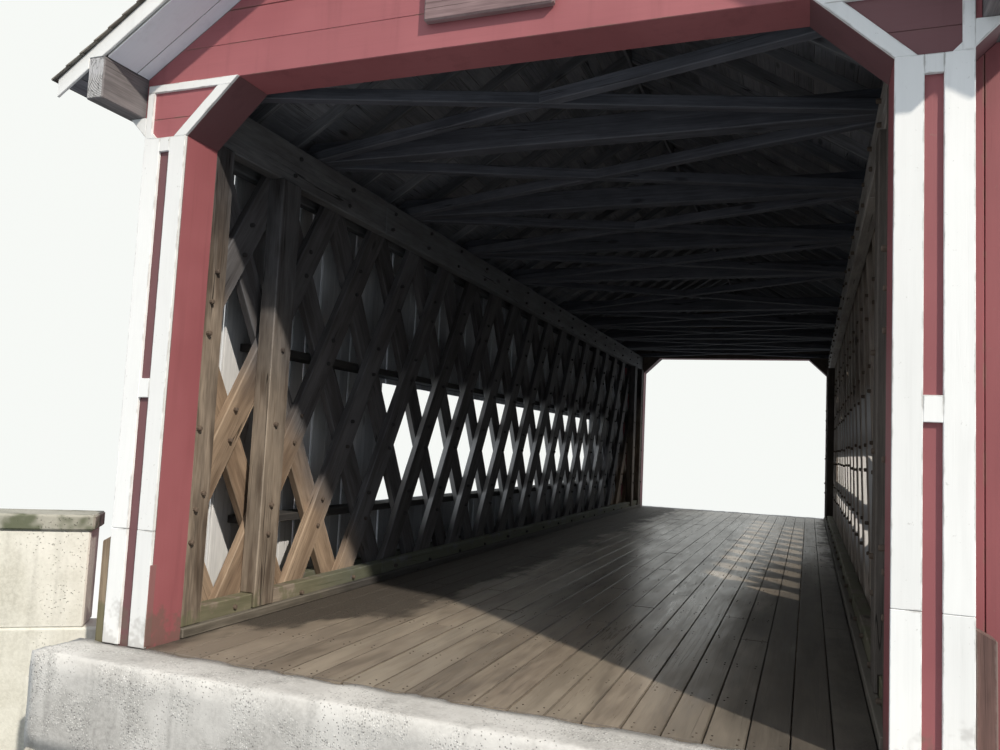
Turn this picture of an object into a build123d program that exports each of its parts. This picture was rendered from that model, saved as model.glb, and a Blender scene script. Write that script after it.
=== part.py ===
"""A single-lane covered bridge on a plank lattice truss.

Two lattice trusses stand on masonry abutments and carry a plank deck between them.
Board siding hangs outside the trusses, with one long window each side, and a
shingled gable roof covers everything. Each end has a boxed portal with splayed
corners and pale trim boards.

Millimetres. X runs across the bridge, Y along it, Z up. The origin is on the
ground line, in the middle of the plan. Heights are given from the top of the deck.
Near is the end that faces -Y.
"""
from build123d import *
import math
import os

# Levels
DECK_LEVEL = 3000.0              # top of the deck above the foot of the abutments
DECK_THICKNESS = 75.0
SEAT_DROP = 620.0                # bridge seat below the top of the deck

# Portals
CLEAR_WIDTH = 4600.0             # roadway between the portal jambs
CLEAR_HEIGHT = 4000.0            # deck to the underside of the lintel
PORTAL_SPAN = 17960.0            # front face to front face
PORTAL_DEPTH = 350.0
SPLAY_WIDTH = 420.0              # corner splay of the opening
SPLAY_HEIGHT = 400.0
PILLAR_WIDTH = 370.0
BRACKET_REACH = 145.0            # outer bracket under the eave plate, each way
LINTEL_HEIGHT = 250.0
GABLE_THICKNESS = 60.0
TRIM_THICKNESS = 25.0
TRIM_WIDTH = 140.0
KNEE_TRIM_WIDTH = 75.0           # along the splay
KNEE_EDGE_WIDTH = 57.0           # over the knee and up its outside
CROSS_BLOCK_LEVEL = 1711.0
CROSS_BLOCK_HEIGHT = 135.0
CAP_BAND_HEIGHT = 103.0
CORNER_TRIM = 46.0               # filled corner of the knee panel
PLAQUE_WIDTH = 865.0
PLAQUE_HEIGHT = 300.0
PLAQUE_RISE = 165.0              # above the lintel's underside
PLAQUE_THICKNESS = 60.0
GUARD_POST_WIDTH = 95.0
GUARD_POST_DEPTH = 120.0
GUARD_POST_HEIGHT = 735.0
GUARD_POST_FALL = 50.0           # its top sheds water

# Trusses
LATTICE_SETBACK = 160.0          # lattice face outside the portal jamb
PLANK_THICKNESS = 72.0
PLANK_WIDTH = 256.0
MODULE = 906.0                   # distance between parallel planks, level
LATTICE_SHIFT = 133.0            # of a crossing on the lower chord from the middle
CROSSING_ROWS = 5                # steps from the lower chord to the upper one
INNER_CHORD_THICKNESS = 120.0
OUTER_CHORD_THICKNESS = 100.0
CHORD_DEPTH = 350.0
LOWER_CHORD_LEVEL = 10.0         # middle of the lower chord
CHORD_RISE = 25.0                # top of the upper chord above the lintel's underside
POST_DEPTH = 150.0
POST_WIDTH = 265.0
POST_SETBACK = 850.0             # second post, behind the end of the truss
END_POST_WIDTH = 215.0
CURB_WIDTH = 60.0
CURB_HEIGHT = 70.0
BEAM_DEPTH = 300.0               # floor beams
BEAM_WIDTH = 200.0
BEAM_BAYS = 18
BED_LENGTH = 430.0               # bearing timbers under each end of a truss

# Ceiling frame
TIE_WIDTH = 150.0
TIE_DEPTH = 200.0
TIE_SPACING = 1850.0
TIE_MIDDLE_BAY = 2790.0
TIE_SHIFT = -130.0               # the whole set stands a little towards the near end
TIES_EACH_WAY = 4
BRACE_WIDTH = 90.0

# Roof
ROOF_PITCH = 32.7                # degrees
PLATE_WIDTH = 145.0
PLATE_DEPTH = 300.0
PLATE_RISE = 35.0                # top of the eave plate above the chord
RAFTER_DEPTH = 101.0
RAFTER_THICKNESS = 50.0
RAFTER_BAYS = 28
EAVE_OVERHANG = 276.0            # outside the eave plate
RAKE_OVERHANG = 380.0            # in front of the portal face
RIDGE_BOARD_THICKNESS = 30.0
RIDGE_BOARD_DROP = 40.0
ROOF_BOARD_THICKNESS = 25.0
SHINGLE_THICKNESS = 20.0
SHINGLE_LIP = 30.0
FASCIA_THICKNESS = 22.0
FASCIA_LIFT = 18.0               # above the rafters' underside
SOFFIT_THICKNESS = 22.0
RIDGE_CAP_WIDTH = 160.0
RIDGE_CAP_THICKNESS = 15.0

# Side walls
SIDING_THICKNESS = 30.0
SIDING_DROP = 550.0              # below the top of the deck
WINDOW_LENGTH = 9980.0
WINDOW_SHIFT = 120.0             # away from the near end
WINDOW_SILL = 770.0
WINDOW_HEAD = 2158.0
GIRT_HEIGHT = 70.0
HEAD_LAP = 55.0                  # siding below the girt over the window
END_WALL_THICKNESS = 50.0

# Masonry
BACKWALL_THICKNESS = 400.0
SEAT_LENGTH = 1200.0
ABUTMENT_BATTER = 150.0
ABUTMENT_MARGIN = 10.0           # outside the siding
WING_ANGLE = 54.0                # degrees away from the road's line
WING_LENGTH = 2600.0
WING_THICKNESS = 350.0
WING_SETBACK = 745.0             # along the road behind the portal face
WING_DROP = 60.0                 # below the top of the deck
PARAPET_SETBACK = 525.0          # bare wing top beside the siding
PARAPET_HEIGHT = 740.0
CAP_THICKNESS = 120.0
CAP_LIP = 30.0

# Distances from the centre line
JAMB = CLEAR_WIDTH / 2
PILLAR_OUTER = JAMB + PILLAR_WIDTH
LATTICE_FACE = JAMB + LATTICE_SETBACK
LATTICE_MIDDLE = LATTICE_FACE + PLANK_THICKNESS
LATTICE_OUTER = LATTICE_MIDDLE + PLANK_THICKNESS
CHORD_INNER = LATTICE_FACE - INNER_CHORD_THICKNESS
CHORD_OUTER = LATTICE_OUTER + OUTER_CHORD_THICKNESS
PLATE_INNER = CHORD_OUTER
PLATE_OUTER = PLATE_INNER + PLATE_WIDTH
SIDING_INNER = PLATE_OUTER
SIDING_OUTER = SIDING_INNER + SIDING_THICKNESS
ABUTMENT_HALF = SIDING_OUTER + ABUTMENT_MARGIN
EAVE_REACH = PLATE_OUTER + EAVE_OVERHANG

# Distances from the middle of the bridge
FRONT = PORTAL_SPAN / 2
CORE_FRONT = FRONT - TRIM_THICKNESS
PORTAL_BACK = FRONT - PORTAL_DEPTH
ROAD_END = CORE_FRONT + BACKWALL_THICKNESS
ROOF_END = FRONT + RAKE_OVERHANG
LAST_BEAM = PORTAL_BACK - BED_LENGTH - BEAM_WIDTH / 2
WINDOW_NEAR = WINDOW_SHIFT - WINDOW_LENGTH / 2
WINDOW_FAR = WINDOW_SHIFT + WINDOW_LENGTH / 2

# Heights
CHORD_BOTTOM = LOWER_CHORD_LEVEL - CHORD_DEPTH / 2
LOWER_CHORD_TOP = LOWER_CHORD_LEVEL + CHORD_DEPTH / 2
CHORD_TOP = CLEAR_HEIGHT + CHORD_RISE
UPPER_CHORD_BOTTOM = CHORD_TOP - CHORD_DEPTH
TRUSS_RISE = CHORD_TOP - CHORD_DEPTH / 2 - LOWER_CHORD_LEVEL
PLATE_TOP = CHORD_TOP + PLATE_RISE
PLATE_BOTTOM = PLATE_TOP - PLATE_DEPTH
BEAM_BOTTOM = CHORD_BOTTOM - BEAM_DEPTH
KNEE_LEVEL = CLEAR_HEIGHT - SPLAY_HEIGHT
LINTEL_TOP = CLEAR_HEIGHT + LINTEL_HEIGHT
ROOF_TAN = math.tan(math.radians(ROOF_PITCH))
ROOF_COS = math.cos(math.radians(ROOF_PITCH))


def under_roof(x):
    """Height of the rafters' underside at a distance from the centre line."""
    return PLATE_TOP + (PLATE_INNER - x) * ROOF_TAN


def roof_reach(z):
    """Distance from the centre line at which the rafters' underside has this height."""
    return PLATE_INNER - (z - PLATE_TOP) / ROOF_TAN


def upright(thickness):
    """The height of a board of this thickness, measured plumb through the sloping roof."""
    return thickness / ROOF_COS


def block(x0, x1, y0, y1, z0, z1):
    """A squared timber or wall between two corners."""
    piece = Box(x1 - x0, y1 - y0, z1 - z0, align=(Align.MIN, Align.MIN, Align.MIN))
    return Pos(x0, y0, DECK_LEVEL + z0) * piece


def across(points, y0, y1):
    """A profile of (x, z) points, as thick as the stretch from y0 to y1."""
    face = make_face(Polyline([(x, DECK_LEVEL + z) for x, z in points], close=True))
    plane = Plane(origin=(0, y1, 0), x_dir=(1, 0, 0), z_dir=(0, -1, 0))
    return extrude(plane * face, amount=y1 - y0)


def plan(points, z0, z1):
    """A plan outline of (x, y) points between two heights."""
    face = make_face(Polyline(points, close=True))
    return extrude(Pos(0, 0, DECK_LEVEL + z0) * face, amount=z1 - z0)


def mirrored(piece):
    """The same piece on the other side of the road."""
    return mirror(piece, about=Plane.YZ)


def turned_end(piece):
    """The same piece at the other end of the bridge."""
    return mirror(piece, about=Plane.XZ)


def both_sides(pieces):
    return pieces + [mirrored(piece) for piece in pieces]


def both_ends(pieces):
    return pieces + [turned_end(piece) for piece in pieces]


def save(name, pieces):
    solids = [solid for piece in pieces for solid in piece.solids()]
    export_step(Compound(children=solids), "parts/" + name + ".step")


def save_left_and_right(name, pieces):
    save("right_" + name, pieces)
    save("left_" + name, [mirrored(piece) for piece in pieces])


# Masonry. Pieces at an end are drawn at the far end, and those at a side on the right.

def abutment():
    """The stem, battered towards the water, up to the bridge seat."""
    inner = CORE_FRONT - SEAT_LENGTH
    face = make_face(Polyline([
        (ROAD_END, 0),
        (inner - ABUTMENT_BATTER, 0),
        (inner, DECK_LEVEL - SEAT_DROP),
        (ROAD_END, DECK_LEVEL - SEAT_DROP),
    ], close=True))
    return extrude(Plane.YZ * face, amount=ABUTMENT_HALF, both=True)


def backwall():
    """The strip of concrete at the deck end, over the back of the abutment."""
    return block(-ABUTMENT_HALF, ABUTMENT_HALF, CORE_FRONT, ROAD_END, -SEAT_DROP, 0)


def wing_line(start, end, inset, width):
    """Plan of a flared wall between two places on its line, as (x, y) points."""
    angle = math.radians(WING_ANGLE)
    along = (math.sin(angle), math.cos(angle))
    aside = (math.cos(angle), -math.sin(angle))
    corner = (ABUTMENT_HALF, FRONT - WING_SETBACK)
    outline = ((start, inset), (end, inset), (end, inset + width), (start, inset + width))
    return [
        (corner[0] + along[0] * run + aside[0] * step, corner[1] + along[1] * run + aside[1] * step)
        for run, step in outline
    ]


def wing_wall():
    """Retaining wall from the abutment's side, down to the foot."""
    points = wing_line(0, WING_LENGTH, 0, WING_THICKNESS)
    root = WING_THICKNESS / math.sin(math.radians(WING_ANGLE))
    points[3] = (ABUTMENT_HALF, points[0][1] - root)
    return plan(points, -DECK_LEVEL, -WING_DROP)


def parapet():
    outline = wing_line(PARAPET_SETBACK, WING_LENGTH, 0, WING_THICKNESS)
    return plan(outline, -WING_DROP, PARAPET_HEIGHT - WING_DROP)


def parapet_cap():
    outline = wing_line(
        PARAPET_SETBACK - CAP_LIP, WING_LENGTH + CAP_LIP, -CAP_LIP, WING_THICKNESS + 2 * CAP_LIP)
    bottom = PARAPET_HEIGHT - WING_DROP
    return plan(outline, bottom, bottom + CAP_THICKNESS)


def bed_timber():
    """Stacked bearing timbers under the end of a truss."""
    return block(
        CHORD_INNER, CHORD_OUTER, PORTAL_BACK - BED_LENGTH, PORTAL_BACK, -SEAT_DROP, CHORD_BOTTOM)


def end_sill():
    """Timber on the bridge seat under the deck end."""
    return block(-JAMB, JAMB, CORE_FRONT - BEAM_WIDTH, CORE_FRONT, -SEAT_DROP, -DECK_THICKNESS)


# Floor

def floor_beam(y):
    """A cross beam, stepped down at each end to pass under the truss."""
    top = -DECK_THICKNESS
    profile = [
        (-SIDING_INNER, BEAM_BOTTOM), (SIDING_INNER, BEAM_BOTTOM),
        (SIDING_INNER, CHORD_BOTTOM), (CHORD_INNER, CHORD_BOTTOM),
        (CHORD_INNER, top), (-CHORD_INNER, top),
        (-CHORD_INNER, CHORD_BOTTOM), (-SIDING_INNER, CHORD_BOTTOM),
    ]
    return across(profile, y - BEAM_WIDTH / 2, y + BEAM_WIDTH / 2)


def floor_beams():
    spacing = 2 * LAST_BEAM / BEAM_BAYS
    return [floor_beam(k * spacing - LAST_BEAM) for k in range(BEAM_BAYS + 1)]


def deck():
    """Planks along the bridge, on a narrower line where they pass between the jambs."""
    points = [
        (-JAMB, -CORE_FRONT), (JAMB, -CORE_FRONT),
        (JAMB, -PORTAL_BACK), (CHORD_INNER, -PORTAL_BACK),
        (CHORD_INNER, PORTAL_BACK), (JAMB, PORTAL_BACK),
        (JAMB, CORE_FRONT), (-JAMB, CORE_FRONT),
        (-JAMB, PORTAL_BACK), (-CHORD_INNER, PORTAL_BACK),
        (-CHORD_INNER, -PORTAL_BACK), (-JAMB, -PORTAL_BACK),
    ]
    return plan(points, -DECK_THICKNESS, 0)


def curb():
    return block(CHORD_INNER - CURB_WIDTH, CHORD_INNER, -PORTAL_BACK, PORTAL_BACK, 0, CURB_HEIGHT)


# Trusses

def lattice_layer(inner_x, rising):
    """One layer of parallel planks, cut off along the chords and at the truss ends."""
    slope = math.degrees(math.atan2(2 * TRUSS_RISE / CROSSING_ROWS, MODULE))
    tilt = slope if rising else 180 - slope
    frame = block(
        inner_x, inner_x + PLANK_THICKNESS, -PORTAL_BACK, PORTAL_BACK, CHORD_BOTTOM, CHORD_TOP)
    plank = Box(
        PLANK_THICKNESS, 3 * TRUSS_RISE, PLANK_WIDTH,
        align=(Align.MIN, Align.CENTER, Align.CENTER))
    reach = math.ceil(PORTAL_BACK / MODULE) + CROSSING_ROWS
    planks = []
    for k in range(-reach, reach + 1):
        place = Pos(inner_x, LATTICE_SHIFT + k * MODULE, DECK_LEVEL + LOWER_CHORD_LEVEL)
        cut = (place * Rot(tilt, 0, 0) * plank) & frame
        if cut is not None and cut.volume > 0:
            planks += cut.solids()
    return planks


def chord(z0, z1):
    """A pair of chord planks, one on each face of the lattice."""
    return [
        block(CHORD_INNER, LATTICE_FACE, -PORTAL_BACK, PORTAL_BACK, z0, z1),
        block(LATTICE_OUTER, CHORD_OUTER, -PORTAL_BACK, PORTAL_BACK, z0, z1),
    ]


def post(y0, y1):
    """A post between the chords, notched over the lower one and standing on the curb."""
    inner = LATTICE_FACE - POST_DEPTH
    return across([
        (inner, CURB_HEIGHT), (CHORD_INNER, CURB_HEIGHT), (CHORD_INNER, LOWER_CHORD_TOP),
        (LATTICE_FACE, LOWER_CHORD_TOP), (LATTICE_FACE, UPPER_CHORD_BOTTOM),
        (inner, UPPER_CHORD_BOTTOM),
    ], y0, y1)


def posts():
    second = PORTAL_BACK - POST_SETBACK
    return both_ends([post(PORTAL_BACK - END_POST_WIDTH, PORTAL_BACK), post(second - POST_WIDTH, second)])


# Ceiling frame

def tie_places():
    first = TIE_MIDDLE_BAY / 2
    half = [first + k * TIE_SPACING for k in range(TIES_EACH_WAY)]
    return sorted(TIE_SHIFT + y for y in half + [-y for y in half])


def tie_beam(y):
    """Seated on both trusses, with its ends bevelled to the slope of the rafters."""
    top = CHORD_TOP + TIE_DEPTH
    shoulder = roof_reach(top)
    return across([
        (-CHORD_OUTER, CHORD_TOP), (CHORD_OUTER, CHORD_TOP), (CHORD_OUTER, PLATE_TOP),
        (shoulder, top), (-shoulder, top), (-CHORD_OUTER, PLATE_TOP),
    ], y - TIE_WIDTH / 2, y + TIE_WIDTH / 2)


def ceiling_bays():
    """The stretches between ties, from one portal to the other."""
    faces = [-PORTAL_BACK]
    for y in tie_places():
        faces += [y - TIE_WIDTH / 2, y + TIE_WIDTH / 2]
    faces.append(PORTAL_BACK)
    return [(faces[k], faces[k + 1]) for k in range(0, len(faces), 2)]


def brace_bar(y0, y1, side):
    """One diagonal of a ceiling bay, cut off at the ties and over the chords."""
    reach = LATTICE_FACE
    bay = block(-reach, reach, y0, y1, CHORD_TOP, CHORD_TOP + BRACE_WIDTH)
    turn = side * math.degrees(math.atan2(y1 - y0, 2 * reach))
    centre = Pos(0, (y0 + y1) / 2, DECK_LEVEL + CHORD_TOP + BRACE_WIDTH / 2)
    return (centre * Rot(0, 0, turn) * Box(3 * reach, BRACE_WIDTH, BRACE_WIDTH)) & bay


def long_braces():
    return [brace_bar(y0, y1, 1) for y0, y1 in ceiling_bays()]


def short_braces():
    """The halves that butt against the long brace from both sides."""
    return [brace_bar(y0, y1, -1) - brace_bar(y0, y1, 1) for y0, y1 in ceiling_bays()]


# Roof

def rafter(y, tail):
    """Seated on the eave plate, plumb cut at the ridge board and at its lower end."""
    rise = upright(RAFTER_DEPTH)
    start = RIDGE_BOARD_THICKNESS / 2
    end = EAVE_REACH if tail else PLATE_OUTER
    heel = [(PLATE_OUTER, under_roof(PLATE_OUTER)), (end, under_roof(end))] if tail else []
    return across([
        (start, under_roof(start)), (PLATE_INNER, PLATE_TOP), (PLATE_OUTER, PLATE_TOP), *heel,
        (end, under_roof(end) + rise), (start, under_roof(start) + rise),
    ], y - RAFTER_THICKNESS / 2, y + RAFTER_THICKNESS / 2)


def rafters():
    """Even spacing along the roof, and one at each gable that stops on the plate."""
    gable = CORE_FRONT - RAFTER_THICKNESS / 2
    last = PORTAL_BACK - PORTAL_DEPTH / 2
    spacing = 2 * last / RAFTER_BAYS
    inner = [rafter(k * spacing - last, True) for k in range(RAFTER_BAYS + 1)]
    return both_ends([rafter(gable, False)]) + inner


def ridge_board():
    half = RIDGE_BOARD_THICKNESS / 2
    bottom = under_roof(half) - RIDGE_BOARD_DROP
    top = under_roof(half) + upright(RAFTER_DEPTH)
    return block(-half, half, FASCIA_THICKNESS - ROOF_END, ROOF_END - FASCIA_THICKNESS, bottom, top)


def eave_plate():
    return block(PLATE_INNER, PLATE_OUTER, -ROOF_END, ROOF_END, PLATE_BOTTOM, PLATE_TOP)


def slope_layer(low, thickness, reach, half_length):
    """A layer of one roof slope, from a height above the rafters' underside."""
    bottom = upright(low)
    top = upright(low + thickness)
    return across([
        (0, under_roof(0) + bottom), (reach, under_roof(reach) + bottom),
        (reach, under_roof(reach) + top), (0, under_roof(0) + top),
    ], -half_length, half_length)


def roof_boards():
    return slope_layer(
        RAFTER_DEPTH, ROOF_BOARD_THICKNESS, EAVE_REACH, ROOF_END - FASCIA_THICKNESS)


def shingles():
    return slope_layer(
        RAFTER_DEPTH + ROOF_BOARD_THICKNESS, SHINGLE_THICKNESS,
        EAVE_REACH + SHINGLE_LIP, ROOF_END + SHINGLE_LIP)


def ridge_cap():
    return slope_layer(
        RAFTER_DEPTH + ROOF_BOARD_THICKNESS + SHINGLE_THICKNESS, RIDGE_CAP_THICKNESS,
        RIDGE_CAP_WIDTH, ROOF_END + SHINGLE_LIP)


def rake_fascia():
    """The bargeboards of one gable, notched over the eave plates."""
    top = upright(RAFTER_DEPTH + ROOF_BOARD_THICKNESS)
    edge = under_roof(EAVE_REACH)
    apex = under_roof(0)
    boards = across([
        (0, apex + FASCIA_LIFT), (EAVE_REACH, edge + FASCIA_LIFT), (EAVE_REACH, edge + top),
        (0, apex + top), (-EAVE_REACH, edge + top), (-EAVE_REACH, edge + FASCIA_LIFT),
    ], ROOF_END - FASCIA_THICKNESS, ROOF_END)
    return boards - eave_plate() - mirrored(eave_plate())


def rake_soffit():
    """Boards under the overhang, from the gable to the bargeboards."""
    rise = upright(SOFFIT_THICKNESS)
    apex = under_roof(0)
    soffit = across([
        (0, apex), (PLATE_INNER, PLATE_TOP), (PLATE_INNER, PLATE_TOP + rise),
        (0, apex + rise), (-PLATE_INNER, PLATE_TOP + rise), (-PLATE_INNER, PLATE_TOP),
    ], CORE_FRONT, ROOF_END - FASCIA_THICKNESS)
    return soffit - ridge_board()


# Side walls

def end_siding():
    top = under_roof(SIDING_OUTER)
    return [
        block(SIDING_INNER, SIDING_OUTER, -PORTAL_BACK, WINDOW_NEAR, -SIDING_DROP, top),
        block(SIDING_INNER, SIDING_OUTER, WINDOW_FAR, PORTAL_BACK, -SIDING_DROP, top),
    ]


def middle_siding():
    top = under_roof(SIDING_OUTER)
    return [
        block(SIDING_INNER, SIDING_OUTER, WINDOW_NEAR, WINDOW_FAR, WINDOW_HEAD, top),
        block(SIDING_INNER, SIDING_OUTER, WINDOW_NEAR, WINDOW_FAR, -SIDING_DROP, WINDOW_SILL),
    ]


def girts():
    """Rails over and under the window, between the truss and the siding."""
    end = PORTAL_BACK - POST_SETBACK - POST_WIDTH
    return [
        block(LATTICE_OUTER, SIDING_INNER, -end, end, level, level + GIRT_HEIGHT)
        for level in (WINDOW_SILL - GIRT_HEIGHT, WINDOW_HEAD + HEAD_LAP)
    ]


def end_wall():
    """Boards from the portal pillar out to the corner of the siding."""
    return across([
        (PILLAR_OUTER, -SIDING_DROP), (SIDING_OUTER, -SIDING_DROP), (SIDING_OUTER, PLATE_BOTTOM),
        (PILLAR_OUTER + BRACKET_REACH, PLATE_BOTTOM), (PILLAR_OUTER, PLATE_BOTTOM - BRACKET_REACH),
    ], PORTAL_BACK, PORTAL_BACK + END_WALL_THICKNESS)


# Portals

def pillar():
    return block(JAMB, PILLAR_OUTER, PORTAL_BACK, CORE_FRONT, -SEAT_DROP, CLEAR_HEIGHT)


def inner_knee():
    """The splay inside the opening."""
    return across([
        (JAMB, KNEE_LEVEL), (JAMB, CLEAR_HEIGHT), (JAMB - SPLAY_WIDTH, CLEAR_HEIGHT),
    ], PORTAL_BACK, CORE_FRONT)


def outer_knee():
    """The bracket outside the pillar that carries the eave plate."""
    return across([
        (PILLAR_OUTER, PLATE_BOTTOM - BRACKET_REACH), (PILLAR_OUTER + BRACKET_REACH, PLATE_BOTTOM),
        (PLATE_INNER, PLATE_BOTTOM), (PLATE_INNER, CLEAR_HEIGHT), (PILLAR_OUTER, CLEAR_HEIGHT),
    ], PORTAL_BACK, CORE_FRONT)


def lintel():
    shoulder = roof_reach(LINTEL_TOP)
    return across([
        (-PLATE_INNER, CLEAR_HEIGHT), (PLATE_INNER, CLEAR_HEIGHT), (PLATE_INNER, PLATE_TOP),
        (shoulder, LINTEL_TOP), (-shoulder, LINTEL_TOP), (-PLATE_INNER, PLATE_TOP),
    ], PORTAL_BACK, CORE_FRONT)


def gable_wall():
    shoulder = roof_reach(LINTEL_TOP)
    wall = across(
        [(-shoulder, LINTEL_TOP), (shoulder, LINTEL_TOP), (0, under_roof(0))],
        CORE_FRONT - GABLE_THICKNESS, CORE_FRONT)
    return wall - ridge_board()


def trim_uprights():
    """Pale boards up the edges of the pillar."""
    return [
        block(JAMB, JAMB + TRIM_WIDTH, CORE_FRONT, FRONT, 0, KNEE_LEVEL),
        block(PILLAR_OUTER - TRIM_WIDTH, PILLAR_OUTER, CORE_FRONT, FRONT, 0, KNEE_LEVEL),
    ]


def trim_rails():
    """Level boards across the pillar and over the knee, and the two filled corners."""
    inner = JAMB + TRIM_WIDTH
    outer = PILLAR_OUTER - TRIM_WIDTH
    band = KNEE_EDGE_WIDTH
    block_top = CROSS_BLOCK_LEVEL + CROSS_BLOCK_HEIGHT
    cross_block = block(inner, outer, CORE_FRONT, FRONT, CROSS_BLOCK_LEVEL, block_top)
    cap_band = block(inner, outer, CORE_FRONT, FRONT, KNEE_LEVEL - CAP_BAND_HEIGHT, KNEE_LEVEL)
    head = across([
        (JAMB - SPLAY_WIDTH, CLEAR_HEIGHT), (PILLAR_OUTER, CLEAR_HEIGHT),
        (PILLAR_OUTER, CLEAR_HEIGHT - band),
        (JAMB - SPLAY_WIDTH + band * SPLAY_WIDTH / SPLAY_HEIGHT, CLEAR_HEIGHT - band),
    ], CORE_FRONT, FRONT)
    corner = across([
        (PILLAR_OUTER - band, KNEE_LEVEL), (PILLAR_OUTER - band, KNEE_LEVEL + CORNER_TRIM),
        (PILLAR_OUTER - band - CORNER_TRIM, KNEE_LEVEL),
    ], CORE_FRONT, FRONT)
    bracket = across([
        (PILLAR_OUTER, PLATE_BOTTOM - BRACKET_REACH), (PILLAR_OUTER + BRACKET_REACH, PLATE_BOTTOM),
        (PILLAR_OUTER, PLATE_BOTTOM),
    ], CORE_FRONT, FRONT)
    return [cross_block, cap_band, head, corner, bracket]


def trim_knees():
    """The board along the splay, and the upright one at the outside of the knee."""
    band = KNEE_EDGE_WIDTH
    width = KNEE_TRIM_WIDTH * math.hypot(SPLAY_WIDTH, SPLAY_HEIGHT) / SPLAY_HEIGHT
    top = CLEAR_HEIGHT - band
    top_x = JAMB - SPLAY_WIDTH + band * SPLAY_WIDTH / SPLAY_HEIGHT
    splay = across([
        (JAMB, KNEE_LEVEL), (JAMB + width, KNEE_LEVEL), (top_x + width, top), (top_x, top),
    ], CORE_FRONT, FRONT)
    upright_band = block(PILLAR_OUTER - band, PILLAR_OUTER, CORE_FRONT, FRONT, KNEE_LEVEL, top)
    return [splay, upright_band]


def plaque():
    """Bare board over the near opening."""
    half = PLAQUE_WIDTH / 2
    bottom = CLEAR_HEIGHT + PLAQUE_RISE
    return block(
        -half, half, -CORE_FRONT - PLAQUE_THICKNESS, -CORE_FRONT, bottom, bottom + PLAQUE_HEIGHT)


def guard_post():
    """Low timber beside the pillar, with a top that sheds water."""
    outer = PILLAR_OUTER + GUARD_POST_WIDTH
    return across([
        (PILLAR_OUTER, -SEAT_DROP), (outer, -SEAT_DROP),
        (outer, GUARD_POST_HEIGHT - GUARD_POST_FALL), (PILLAR_OUTER, GUARD_POST_HEIGHT),
    ], CORE_FRONT - GUARD_POST_DEPTH, CORE_FRONT)


os.makedirs("parts", exist_ok=True)

save("abutments", both_ends([abutment()]))
save("backwalls", both_ends([backwall()]))
save("wing_walls", both_ends(both_sides([wing_wall()])))
save("parapets", both_ends(both_sides([parapet()])))
save("parapet_caps", both_ends(both_sides([parapet_cap()])))
save("bed_timbers", both_ends(both_sides([bed_timber()]) + [end_sill()]))
save("floor_beams", floor_beams())
save("deck", [deck()])
save("curbs", both_sides([curb()]))

save_left_and_right("inner_lattice", lattice_layer(LATTICE_FACE, True))
save_left_and_right("outer_lattice", lattice_layer(LATTICE_MIDDLE, False))
save_left_and_right("lower_chord", chord(CHORD_BOTTOM, LOWER_CHORD_TOP))
save_left_and_right("upper_chord", chord(UPPER_CHORD_BOTTOM, CHORD_TOP))
save("truss_posts", both_sides(posts()))

save("tie_beams", [tie_beam(y) for y in tie_places()])
save("long_braces", long_braces())
save("short_braces", short_braces())
save_left_and_right("rafters", rafters())
save("ridge_board", [ridge_board()])
save("eave_plates", both_sides([eave_plate()]))
save_left_and_right("roof_boards", [roof_boards()])
save_left_and_right("shingles", [shingles()])
save_left_and_right("ridge_cap", [ridge_cap()])
save("rake_fascias", both_ends([rake_fascia()]))
save("rake_soffits", both_ends([rake_soffit()]))

save_left_and_right("end_siding", end_siding())
save_left_and_right("middle_siding", middle_siding())
save("girts", both_sides(girts()))
save("end_walls", both_ends(both_sides([end_wall()])))

save("portal_pillars", both_ends(both_sides([pillar()])))
save("portal_knees", both_ends(both_sides([inner_knee(), outer_knee()])))
save("portal_lintels", both_ends([lintel()]))
save("gable_walls", both_ends([gable_wall()]))
save("trim_uprights", both_ends(both_sides(trim_uprights())))
save("trim_rails", both_ends(both_sides(trim_rails())))
save("trim_knees", both_ends(both_sides(trim_knees())))
save("plaque", [plaque()])
save("guard_posts", both_ends(both_sides([guard_post()])))
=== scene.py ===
"""Looks of the covered bridge, in metres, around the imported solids.

X runs across the bridge and Y along it, from the near portal to the far one. Z is up
from the foot of the abutments, and the top of the deck is at Z = 3.
"""
import math
import random

import bmesh
import bpy
from mathutils import Matrix, Vector, noise


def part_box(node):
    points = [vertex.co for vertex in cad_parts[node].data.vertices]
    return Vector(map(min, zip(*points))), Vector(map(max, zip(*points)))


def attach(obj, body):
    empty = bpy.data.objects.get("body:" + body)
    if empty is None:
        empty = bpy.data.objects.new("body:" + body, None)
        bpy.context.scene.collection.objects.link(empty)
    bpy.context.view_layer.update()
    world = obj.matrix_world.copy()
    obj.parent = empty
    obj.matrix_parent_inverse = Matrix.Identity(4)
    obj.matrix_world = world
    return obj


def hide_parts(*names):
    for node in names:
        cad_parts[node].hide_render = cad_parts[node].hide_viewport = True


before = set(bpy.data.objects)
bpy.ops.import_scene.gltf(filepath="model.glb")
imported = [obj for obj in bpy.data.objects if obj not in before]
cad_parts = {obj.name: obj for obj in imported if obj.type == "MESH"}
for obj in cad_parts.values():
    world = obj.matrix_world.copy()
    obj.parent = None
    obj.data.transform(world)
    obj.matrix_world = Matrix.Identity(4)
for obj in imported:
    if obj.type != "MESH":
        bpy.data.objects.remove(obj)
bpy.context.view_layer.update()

# --------------------
# Abutments: battered stems of cast concrete that carry the bridge seats. They are
# poured against level boards, and the damp has stained their feet green.

DECK = 3.0  # top of the deck
noise.seed_set(7)  # the same unevenness in every run
X, Y, Z = Vector((1, 0, 0)), Vector((0, 1, 0)), Vector((0, 0, 1))


def face_place(face):
    """Orders faces by where they lie, so that every run takes them in the same order."""
    return [round(c, 4) for c in (*face.calc_center_median(), *face.normal)]


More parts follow.
